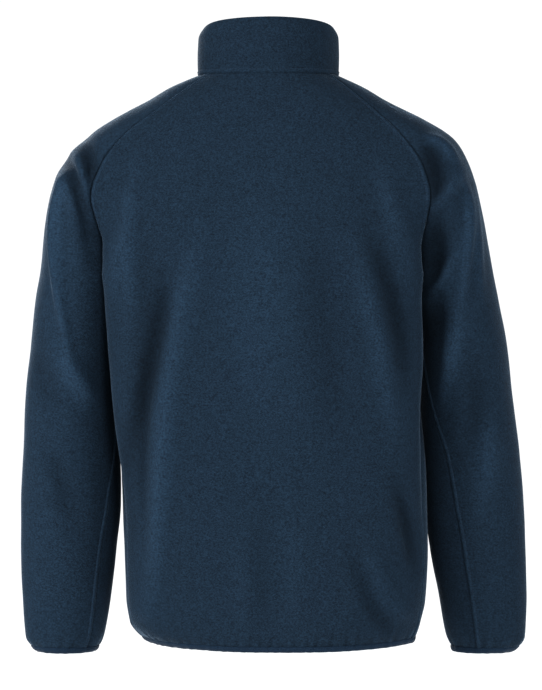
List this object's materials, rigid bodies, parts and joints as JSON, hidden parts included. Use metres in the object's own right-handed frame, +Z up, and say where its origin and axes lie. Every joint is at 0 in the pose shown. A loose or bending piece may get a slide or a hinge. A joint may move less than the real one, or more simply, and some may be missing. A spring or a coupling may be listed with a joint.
{
  "type": "fleece zip jacket",
  "caption": "Hip-length fleece jacket filled out as if worn, with raglan sleeves, stand collar, full front zip and elastic-bound hem and cuffs.",
  "frame": {"origin": "middle of the neck base, level with the side neck points, where the wearer's neck and shoulders carry the jacket", "axes": "+Z up along the body, the front faces -Y, the wearer's left arm is at +X"},
  "size_m": [0.6528, 0.2688, 0.8071],
  "materials": {
    "fleece": "navy polyester fleece, brushed on both faces",
    "elastic": "navy folded elastic binding",
    "zip_tape": "navy woven zip tape",
    "zip_metal": "dark painted zinc"
  },
  "bodies": {
    "jacket": {"back": "fleece", "front_left": "fleece", "front_right": "fleece", "sleeve_left": "fleece", "sleeve_right": "fleece", "collar": "fleece", "hem_binding": "elastic", "cuff_binding_left": "elastic", "cuff_binding_right": "elastic", "zip_tape_left": "zip_tape", "zip_tape_right": "zip_tape", "zip_slider": "zip_metal", "zip_box": "zip_metal"},
    "pull": {"zip_pull": "zip_metal"}
  },
  "joints": [
    {"name": "pull_swing", "type": "hinge", "parent": "jacket", "child": "pull", "pos_m": [0, -0.09872, 0.01294], "axis": [-1, 0, 0], "range_deg": [0, 125]}
  ]
}
